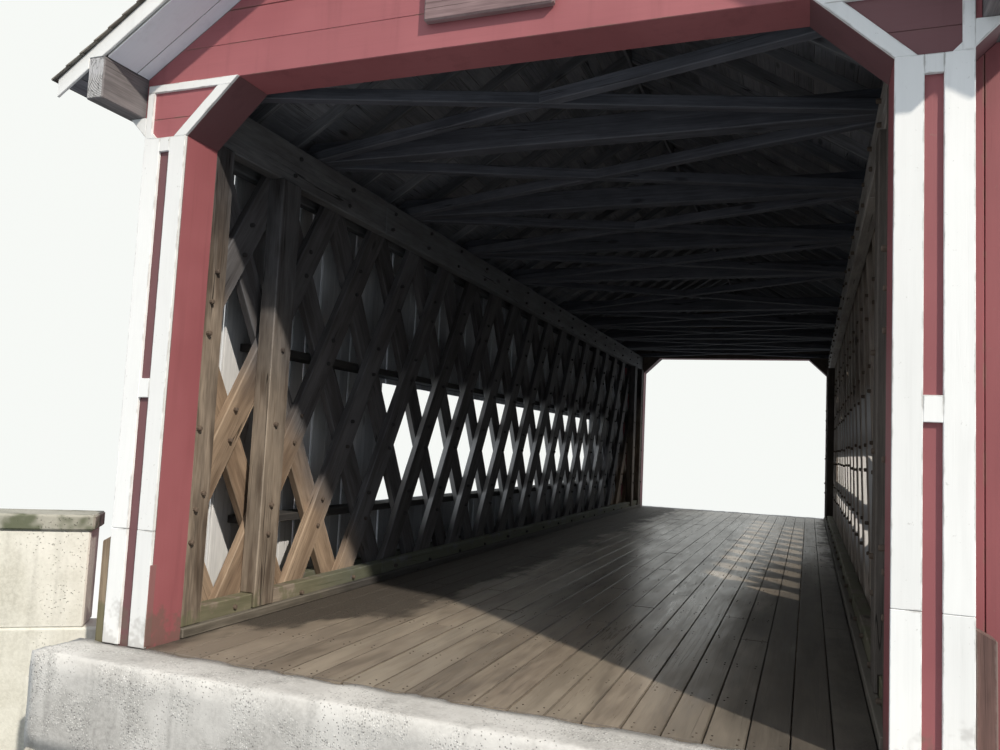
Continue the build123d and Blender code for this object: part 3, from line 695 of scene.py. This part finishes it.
# A lighter copy for the right upper chord, for the same window light: painted light.
window_lit_chord_wood = timber(
    "pale chord timber", (0.25, 0.23, 0.21), (0.52, 0.485, 0.45), (0.56, 0.53, 0.5),
    moss_level=3.05, cover=0.7, stains=0.4)
LATER_JOINTS = 4.55, 8.95  # from the first butt joint
chance = random.Random("chords")
for side in ("right", "left"):
    for level in ("lower", "upper"):
        node = f"{side}_{level}_chord"
        timbers = []
        for solid in solids_of(node):
            first = chance.uniform(-7.4, -4.4)
            timbers += sawn([solid], Y, [first] + [first + on for on in LATER_JOINTS])
        wood = window_lit_chord_wood if node == "right_upper_chord" else chord_wood
        laid(node + "_timbers", node, [wood], timbers, bevel=0.008, step=0.5)

# --------------------
# Posts: heavy timbers between the chords at the truss ends, pegged to the lattice
# behind and split by long drying checks.

post_wood = timber(
    "post timber", (0.095, 0.074, 0.058), (0.325, 0.262, 0.205), (0.42, 0.365, 0.3),
    moss_level=3.0, cover=0.9, tones=0.3, stains=0.85, shade_tint=(0.42, 0.5, 0.66), reach=(2.2, 3.7))
shaded_post = timber(
    "shaded post timber", (0.05, 0.042, 0.036), (0.13, 0.112, 0.098), (0.17, 0.15, 0.135),
    moss_level=2.9, tones=0.3)
laid("truss_post_timbers", "truss_posts", [post_wood, shaded_post],
     bevel=0.008, step=0.3, along=Z, pick=lambda normal, centre: int(centre.x > 0))
# Treenails of the posts: how far from the middle of the bridge and over the deck.
heads = ((8.526, 2.7), (8.566, 2.462), (8.573, 2.226), (8.601, 1.514), (8.504, 1.034), (8.576, 0.913),
         (8.591, 0.675), (7.642, 2.213), (7.667, 1.572), (7.658, 0.901), (7.673, 0.67))
pegs = [pegged((sign * POST_IN, turn * y, DECK + level), sign, 0.005, 0.016, 0.034)
        for sign in (-1, 1) for turn in (-1, 1) for y, level in heads]
studs("post_treenails", pegs, peg_wood)

# --------------------
# Ceiling frame: cross ties on the upper chords, with squared braces crossed in every
# bay. All of it is rough sawn and dark with age and soot; its cool blue cast is painted shade.

ceiling_wood = timber(
    "ceiling timber", (0.05, 0.053, 0.066), (0.12, 0.126, 0.152), (0.15, 0.155, 0.175), tones=0.3)
# The rafter wood's cool blue cast is painted shade too.
rafter_wood = timber(
    "rafter timber", (0.115, 0.118, 0.132), (0.255, 0.262, 0.285), (0.29, 0.295, 0.31), tones=0.4)
laid("tie_beam_timbers", "tie_beams", [ceiling_wood], bevel=0.008, wobble=0.005, along=X)
for run in ("long", "short"):
    laid(run + "_brace_timbers", run + "_braces", [ceiling_wood], bevel=0.006)

# --------------------
# Rafters: sawn pairs from the eave plates to a ridge board, notched over the plate and
# cut plumb at the tail.

for side in ("right", "left"):
    laid("rafter_timbers_" + side, side + "_rafters", [rafter_wood], bevel=0.004, step=0.7)
laid("ridge_timber", "ridge_board", [rafter_wood],
     cuts=(Y, [-4.8, 0.1, 4.7]), wobble=0.002, step=0.8)

# --------------------
# Eave plates: squared beams on top of the outer chords. Their ends stick out under the
# overhang, where rain has turned them silver-grey and opened the end grain.

plate_wood = timber(
    "eave plate timber", (0.085, 0.078, 0.08), (0.21, 0.195, 0.2), (0.27, 0.255, 0.26), tones=0.2)
butt_end = Surface("weathered end grain")
across, through = butt_end.grain.parts()[1:]
rings = put(butt_end.tree, "CombineXYZ", {0: across, 1: through, 2: 0.0})[0]
from_pith = rings.vector("ADD", (0.05, 0.11, 0.0))[0].vector("LENGTH")["Value"]
ripple = from_pith * 420.0 + butt_end.grain.noise(14.0, 3.0) * 9.0
ring = ripple.math("SINE").ramp(-0.8, 0.9)
butt_end.colour = ring.between((0.33, 0.325, 0.325), (0.41, 0.405, 0.41))
pale = (across * -2.0 + butt_end.grain.noise(11.0, 5.0, 0.7)).ramp(0.45, 0.7)
butt_end.lay(pale * 0.7, (0.52, 0.52, 0.54))
crack = abs(butt_end.grain.noise((1.0, 7.0, 30.0), 3.0) - 0.5).ramp(0.004, 0.02, 1.0, 0.0)
butt_end.lay(crack * 0.7, (0.05, 0.045, 0.04))
end_grain = butt_end.finish(0.88, ring - crack * 2.0, 0.002, 0.2)


def at_end(normal, centre):
    """Second material on the ends that face along the bridge."""
    return int(abs(normal.y) > 0.9)


laid("eave_plate_timbers", "eave_plates", [plate_wood, end_grain],
     bevel=0.008, pick=at_end)

# --------------------
# Roof boards: sawn boards nailed across the rafters, with their joints on the rafters.
# They are seen from inside. Smoke and dust have greyed them, and their cool blue cast is painted shade.

PITCH = math.radians(32.7)
FIRST_RAFTER, RAFTER_ROW = -8.455, 0.60393
ROOF_BOARD = 0.19
SIDES = ("right", 1), ("left", -1)
roof_board_wood = timber(
    "roof board wood", (0.135, 0.14, 0.162), (0.29, 0.3, 0.335), (0.33, 0.335, 0.35), tones=0.45)
for side, sign in SIDES:
    node = side + "_roof_boards"
    down = Vector((sign * math.cos(PITCH), 0, -math.sin(PITCH)))
    chance = random.Random(node)
    slabs = solids_of(node)
    top = min(vert.co.dot(down) for vert in slabs[0].verts)
    boards = []
    for board in sawn(slabs, down, [top + ROOF_BOARD * k for k in range(1, 22)], 0.004):
        first = FIRST_RAFTER + RAFTER_ROW * chance.randint(2, 8)
        boards += sawn([board], Y, [first + RAFTER_ROW * 7 * k for k in range(4)], 0.004)
    laid(node + "_sheathing", node, [roof_board_wood], boards,
         bevel=0.002, wobble=0.002, step=1.2)

# --------------------
# Shingles: split shingles in courses from the eaves to the ridge, each thickest at its
# lower end. Weather has turned them silver-grey, with lichen here and there.

EXPOSURE, LAP = 0.142, 0.03
RIDGE_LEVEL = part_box("right_roof_boards")[1].z
BUTT, TAIL = 0.0175, 0.004  # thickness at the lower and the upper end
SEAM, STAGGER, SLIVER = 0.0015, 0.06, 0.015
split_wood = Surface("weathered shingles")
marks = marks_of(split_wood, 0.8)
split_wood.colour = (0.16, 0.148, 0.132)
split_wood.lay(marks["Streaks"].ramp(0.32, 0.68), (0.385, 0.37, 0.342))
split_wood.lay((split_wood.tone * 9.13).math("FRACT") * 0.6, (0.215, 0.165, 0.12))
split_wood.shade(split_wood.tone.ramp(0.0, 1.0, 0.62, 1.18))
lichen = split_wood.where.noise(2.1, 7.0, 0.7).ramp(0.56, 0.68)
split_wood.lay(lichen * 0.5, (0.15, 0.165, 0.085))
split_wood.lay(split_wood.arris(0.012) * 0.5, (0.075, 0.064, 0.052))
shingle_wood = split_wood.finish(0.86, marks["Relief"], 0.004, 0.25)

for side, sign in SIDES:
    node = side + "_shingles"
    chance = random.Random(node)
    low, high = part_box(node)
    eave, half_run = max(abs(low.x), abs(high.x)), high.y
    out = Vector((sign * math.sin(PITCH), 0, math.cos(PITCH)))
    down = Vector((sign * math.cos(PITCH), 0, -math.sin(PITCH)))
    ridge = Vector((0, 0, RIDGE_LEVEL))
    slope = eave / math.cos(PITCH)
    points, faces = [], []
    places = {"grain": [], "half": [], "tone": []}
    for course in range(int(slope / EXPOSURE) + 1):
        lower = slope - course * EXPOSURE
        upper = max(lower - EXPOSURE - LAP, 0.0)
        y = -half_run - (0 if course % 2 else STAGGER)
        while y < half_run:
            width = chance.uniform(0.085, 0.21)
            left, right = max(y, -half_run) + SEAM, min(y + width, half_run) - SEAM
            y += width
            if right - left < SLIVER:
                continue
            end = lower - (chance.uniform(0.0, 0.012) if course else 0.0)
            thick = BUTT - chance.uniform(0.0, 0.004)
            own = chance.random()
            start = len(points)
            for along, rise in ((end, 0.0), (end, thick), (upper, TAIL), (upper, 0.0)):
                for across in (left, right):
                    points.append(ridge + down * along + out * rise + Y * across)
                    places["grain"].extend((along - (end + upper) / 2, across - (left + right) / 2, rise - thick / 2))
                    places["half"].extend(((end - upper) / 2, (right - left) / 2, thick / 2))
                    places["tone"].append(own)
            quads = [(0, 1, 3, 2), (2, 3, 5, 4), (0, 2, 4, 6), (1, 7, 5, 3)]
            if sign < 0:
                quads = [quad[::-1] for quad in quads]
            faces += [[start + k for k in quad] for quad in quads]
    new_piece(node + "_courses", node, [shingle_wood], points, faces, places)

# --------------------
# Ridge cap: two rows of boards, of the same split wood, that cover the top courses and
# meet at the ridge.

cap_joints = [-7.2, -4.9, -2.4, 0.1, 2.5, 5.0, 7.3]
for side in ("right", "left"):
    node = side + "_ridge_cap"
    laid(node + "_boards", node, [shingle_wood], cuts=(Y, cap_joints, 0.004),
         wobble=0.002)

# --------------------
# Gable edges: white painted bargeboards in front, and boards under the overhang that
# the shade turns lilac.


def painted(name, coat, bare, wear=0.3, spots=0.0, grime=0.3, grime_level=3.0, fade=0.2, checks=0.2):
    """Brushed paint on boards: it has worn off arrises, and rain and road dirt mark it."""
    paint = Surface(name)
    marks = marks_of(paint, checks)
    clouds = paint.where.noise(0.9, 3.0, 0.6)
    paint.colour = coat
    paint.lay(clouds.ramp(0.36, 0.66, 0.0, fade), tuple(min(1.0, c * 1.28 + 0.02) for c in coat))
    paint.shade(paint.tone.ramp(0.0, 1.0, 1.0 - fade * 0.5, 1.0 + fade * 0.25))
    paint.lay(marks["Streaks"].ramp(0.4, 0.7, 0.0, 0.18), dim(coat, 0.72))
    paint.lay(paint.where.noise((9.0, 9.0, 0.5), 3.0, 0.65).ramp(0.5, 0.75, 0.0, grime), dim(coat, 0.55))
    chips = paint.arris(0.01) * paint.where.noise(5.0, 2.0, 0.7).ramp(0.45, 0.6)
    flakes = paint.where.noise(26.0, 3.0, 0.8).ramp(0.7 - wear * 0.12, 0.74 - wear * 0.1)
    lost = (chips * (wear * 1.6)).most(flakes * wear)
    if spots:
        dots = put(paint.tree, "TexVoronoi", {"Vector": paint.where, "Scale": 9.0})
        chosen = dots["Color"].parts()[0].ramp(1.0 - spots, 1.0 - spots + 0.02)
        lost = lost.most(dots["Distance"].ramp(0.03, 0.07, 1.0, 0.0) * chosen)
    paint.lay(lost, bare)
    paint.lay(paint.growth(grime_level, 0.55, 0.85, 5.0) * (grime * 2.0), (0.13, 0.105, 0.085))
    return paint.finish(clouds.ramp(0.3, 0.7, 0.5, 0.68), marks["Relief"] * 0.5, 0.0022, 0.4)


WHITE = (0.79, 0.8, 0.8)
fascia_paint = painted("fascia white paint", WHITE, (0.35, 0.33, 0.3), wear=0.25, grime=0.15, fade=0.1)
soffit_paint = painted(
    "soffit white paint", (0.76, 0.82, 0.92), (0.3, 0.28, 0.27), wear=0.15, grime=0.15, fade=0.1)
soffit_end = timber("soffit board end", (0.14, 0.14, 0.145), (0.28, 0.28, 0.285), (0.32, 0.32, 0.32), tones=0.2)
laid("bargeboards", "rake_fascias", [fascia_paint], cuts=(X, [0.0]),
     wobble=0.0015)
soffits = sawn(sawn(solids_of("rake_soffits"), X, [0.0], 0.002), Y, [-9.07, 9.07], 0.005)
laid("soffit_boards", "rake_soffits", [soffit_paint, soffit_end], soffits,
     bevel=0.002, wobble=0.001, step=0.9, pick=at_end)

# --------------------
# Siding: upright boards nailed to the girts, red paint outside and bare wood inside.
# They have shrunk, and their far arrises are cut back, so light shows at the odd seam.

RED, RED_WORN = (0.3, 0.095, 0.106), (0.235, 0.15, 0.12)
red_paint = painted(
    "faded red paint", RED, RED_WORN, grime_level=2.55, fade=0.35, checks=0.5)
bare_board = timber(
    "bare siding wood", (0.48, 0.485, 0.5), (0.68, 0.68, 0.685), (0.72, 0.72, 0.72),
    checks=0.6, tones=0.4, shade_tint=(0.93, 0.96, 1.0), reach=(2.4, 4.8))
chance = random.Random("siding")
LAST_SEAM = 8.4
seams, place = [], -TRUSS_END
while place < LAST_SEAM:
    place += chance.uniform(0.19, 0.27)
    seams.append(place)
WINDOW = [-4.87, 5.11]  # near and far edge of the long window
seams = sorted([seam for seam in seams if min(abs(seam - edge) for edge in WINDOW) > 0.06] + WINDOW)
slits = [chance.choice((0.001, 0.0014, 0.0018, 0.0026, 0.0038, 0.0052)) for seam in seams]
CUT_BACK = 0.038
for side, sign in SIDES:
    for part in ("end", "middle"):
        node = f"{side}_{part}_siding"
        boards = sawn(solids_of(node), Y, seams, 0.0)
        for board in boards:
            low, high = extent(board)
            middle = (low + high) / 2
            for vert in board.verts:
                turn = math.copysign(1, vert.co.y - middle.y)
                near = [slit for seam, slit in zip(seams, slits) if abs(seam - vert.co.y) < 0.001]
                if near:
                    inner = abs(vert.co.x) < abs(middle.x) and turn * middle.y < 0 and near[0] > 0.002
                    vert.co.y -= turn * (near[0] / 2 + (CUT_BACK if inner else 0.0))
        laid(node + "_boards", node, [red_paint, bare_board], boards,
             wobble=0.003, step=0.9, along=Z,
             pick=lambda normal, centre, sign=sign: int(normal.x * sign < 0.3))

# --------------------
# Girts: sawn rails that the siding is nailed to, over and under the long window. They
# stand in the shade, and their near-black colour is painted shade.

girt_wood = timber("girt timber", (0.022, 0.021, 0.022), (0.052, 0.05, 0.05), (0.08, 0.075, 0.07), tones=0.3)
laid("girt_rails", "girts", [girt_wood], cuts=(Y, [-4.9, -0.4, 4.2]),
     bevel=0.005, wobble=0.003, step=0.7)

# --------------------
# End walls: upright boards that close each end from the portal out to the siding, in the
# same red paint.

laid("end_wall_boards", "end_walls", [red_paint], cuts=(X, [-2.76, 2.76]), wobble=0.002, along=Z)

# --------------------
# Portal boxes: pillars, splayed corners and lintel, built up from wide red boards with
# level seams above the opening.

portal_red = painted("portal red paint", RED, RED_WORN, spots=0.04, fade=0.4, checks=0.25)
portal_bare = timber(
    "bare portal timber", (0.06, 0.048, 0.042), (0.16, 0.13, 0.112), (0.21, 0.18, 0.16), tones=0.3)
# A darker red for portal faces in shade: painted shade.
shade_red = painted(
    "shaded red paint", (0.15, 0.066, 0.074), (0.1, 0.075, 0.065), wear=0.15, spots=0.02, fade=0.2)


def inward(normal, centre):
    """Second material on the faces that look along the roadway into the bridge."""
    return int(normal.y * centre.y < 0 and abs(normal.y) > 0.5)


def pillar_side(normal, centre):
    """As inward, but the outer face of two pillars, which lie in the shade, takes the darker red: painted shade."""
    shaded = normal.y * centre.y > 0 and abs(normal.y) > 0.5 and centre.x * centre.y > 0
    return 2 if shaded else inward(normal, centre)


portal_coats = [portal_red, portal_bare, shade_red]
laid("pillar_boards", "portal_pillars", portal_coats,
     bevel=0.004, wobble=0.0015, step=0.5, along=Z, pick=pillar_side)
mend = bmesh.new()  # a strip let on low down, at the left front arris
MEND_MIDDLE, MEND_SIZE = (-2.299, -8.951, DECK + 0.285), (0.006, 0.056, 0.55, 1)
bmesh.ops.create_cube(mend, size=1.0, matrix=Matrix.Translation(MEND_MIDDLE) @ Matrix.Diagonal(MEND_SIZE))
mend_red = painted("mended red paint", (0.24, 0.11, 0.11), RED_WORN, wear=0.35, fade=0.3)
laid("pillar_mend", None, [mend_red], [mend], bevel=0.002, wobble=0.0008, step=0.4, along=Z)
# Knee undersides take the darker red: painted shade under them.
laid("knee_blocks", "portal_knees", portal_coats, wobble=0.001,
     pick=lambda normal, centre: 2 if normal.z < -0.3 else inward(normal, centre))
laid("lintel_boards", "portal_lintels", [portal_red, portal_bare],
     bevel=0.004, wobble=0.0015, along=X, pick=inward)
PANEL_BACK, PANEL_FRONT = 8.9549, 8.961  # thin red panels between the trim of each knee
LOWER_PANEL = ((2.4, 3.598), (2.617, 3.598), (2.617, 3.7435), (2.256, 3.7435))
UPPER_PANEL = ((2.253, 3.7465), (2.617, 3.7465), (2.617, 3.947), (2.04, 3.947))
panels = []
for sign in (-1, 1):
    for turn in (-1, 1):
        for outline in (LOWER_PANEL, UPPER_PANEL):
            panel = bmesh.new()
            back, front = ([panel.verts.new((sign * x, turn * y, DECK + z)) for x, z in outline]
                           for y in (PANEL_BACK, PANEL_FRONT))
            panel.faces.new(back)
            panel.faces.new(front)
            for k in range(4):
                panel.faces.new((back[k], back[k - 1], front[k - 1], front[k]))
            bmesh.ops.recalc_face_normals(panel, faces=panel.faces)
            panels.append(panel)
# The right near and left far panels take the darker red: painted shade.
laid("knee_panels", None, [portal_red, shade_red], panels, bevel=0.001, wobble=0.0005,
     along=X, pick=lambda normal, centre: int(centre.x * centre.y < 0))
GABLE_FOOT, GABLE_BOARD = 7.25, 0.25
board_rows = [GABLE_FOOT + GABLE_BOARD * k for k in range(1, 7)]
laid("gable_boards", "gable_walls", [portal_red, portal_bare],
     cuts=(Z, board_rows), wobble=0.002, step=0.7, along=X, pick=inward)

# --------------------
# Portal trim: white boards nailed on the edges of the boxes, scuffed at bumper height
# and dotted with nail marks.

trim_paint = painted("trim white paint", WHITE, (0.24, 0.23, 0.21), spots=0.16, grime=0.14, fade=0.12)
SCARF = DECK + 0.79  # where the uprights were pieced
laid("trim_upright_boards", "trim_uprights", [trim_paint],
     cuts=(Z, [SCARF], 0.0025), wobble=0.0012, step=0.5, along=Z)
for part in ("rail", "knee"):
    laid(f"trim_{part}_boards", f"trim_{part}s", [trim_paint], bevel=0.0025, wobble=0.0008, step=0.5)

# --------------------
# Plaque: one bare dark board nailed up over the near opening. Its edge is eased all round
# and has weathered lighter.

plaque_wood = timber("plaque wood", (0.16, 0.106, 0.11), (0.325, 0.23, 0.235), (0.38, 0.31, 0.29), tones=0.1)
laid("plaque_board", "plaque", [plaque_wood], bevel=0.012, wobble=0.001, step=0.4, along=X)

# --------------------
# Guard posts: low timbers set beside the pillars that take the knocks, with a sloping
# top. Those on the left are mossy, and those on the right are darker and redder: their darkness is painted shade.

guard_wood = timber(
    "guard post timber", (0.13, 0.09, 0.062), (0.3, 0.235, 0.165), (0.36, 0.31, 0.22),
    moss_level=3.1, cover=1.0, tones=0.3)
dark_guard = timber(
    "dark guard post timber", (0.06, 0.034, 0.03), (0.15, 0.085, 0.075), (0.3, 0.26, 0.24),
    checks=0.5, tones=0.2)
laid("guard_post_timbers", "guard_posts", [guard_wood, dark_guard],
     bevel=0.006, step=0.2, along=Z, pick=lambda normal, centre: int(centre.x > 0))

# --------------------
# Stage: a plain pale floor at the foot of the abutments, a pale surround, a warm sun
# from the front right and a soft sky, brighter low down on the left.

BACKDROP = (0.93, 0.95, 0.92)
bpy.ops.mesh.primitive_plane_add(size=400, location=(0, 0, -0.002))
floor = bpy.context.object
floor.name = "stage_floor"
ground = Surface("stage floor")
direct = put(ground.tree, "LightPath")["Is Camera Ray"]
ground.colour = direct.between((0.25, 0.27, 0.29), (0.66, 0.66, 0.65))
feed(ground.shader, {"Base Color": ground.colour, "Roughness": 0.9})
distant = put(ground.tree, "Emission", {"Color": BACKDROP, "Strength": 1.0})[0]
share = direct * ground.where.vector("LENGTH")["Value"].ramp(12.0, 32.0)
faded = put(ground.tree, "MixShader", {0: share, 1: Wire(ground.shader.outputs[0]), 2: distant})[0]
feed(ground.tree.nodes["Material Output"], {"Surface": faded})
floor.data.materials.append(ground.material)

world = bpy.data.worlds.new("sky")
bpy.context.scene.world = world
world.use_nodes = True
tree = world.node_tree
sky = tree.nodes["Background"]
across, _, rise = put(tree, "TexCoord")["Generated"].parts()
bank = across.ramp(-0.45, -0.85) * rise.ramp(0.15, 0.5, 1.1, 0.0)
feed(sky, {"Color": (0.86, 0.93, 1.0), "Strength": rise.ramp(0.0, 0.6, 0.36, 1.0) + bank})
seen = put(tree, "Background", {"Color": BACKDROP, "Strength": 1.0})[0]
rays = put(tree, "LightPath")
direct = rays["Is Camera Ray"].most(rays["Is Glossy Ray"].most(rays["Is Transmission Ray"]))
blend = put(tree, "MixShader", {0: direct, 1: Wire(sky.outputs[0]), 2: seen})[0]
feed(tree.nodes["World Output"], {"Surface": blend})

sun = bpy.data.lights.new("sun", "SUN")
sun.energy = 4.0
sun.angle = math.radians(1.5)
sun.color = (1.0, 0.92, 0.8)
lamp = shown("sun", sun)
lamp.rotation_euler = Vector((-1.25, 1.0, -1.25)).to_track_quat("-Z", "Y").to_euler()

bpy.context.scene.view_settings.view_transform = "Standard"

# --------------------
# Camera: where the photographer stood, as fitted to the portal and the ceiling ties.
# It looks through the bridge from the right of the road, turned a little to the left.

STAND = (1.915, -13.53, 4.505)
YAW, PITCH_UP, ROLL = math.radians(20.71), math.radians(4.76), math.radians(2.73)
lens = bpy.data.cameras.new("camera")
lens.sensor_width = 36.0
lens.lens = 29.66  # mm, from the fit
lens.clip_end = 500
camera = shown("camera", lens)
camera.matrix_world = (
    Matrix.Translation(STAND) @ Matrix.Rotation(YAW, 4, "Z")
    @ Matrix.Rotation(math.pi / 2 + PITCH_UP, 4, "X") @ Matrix.Rotation(ROLL, 4, "Z"))
bpy.context.scene.camera = camera
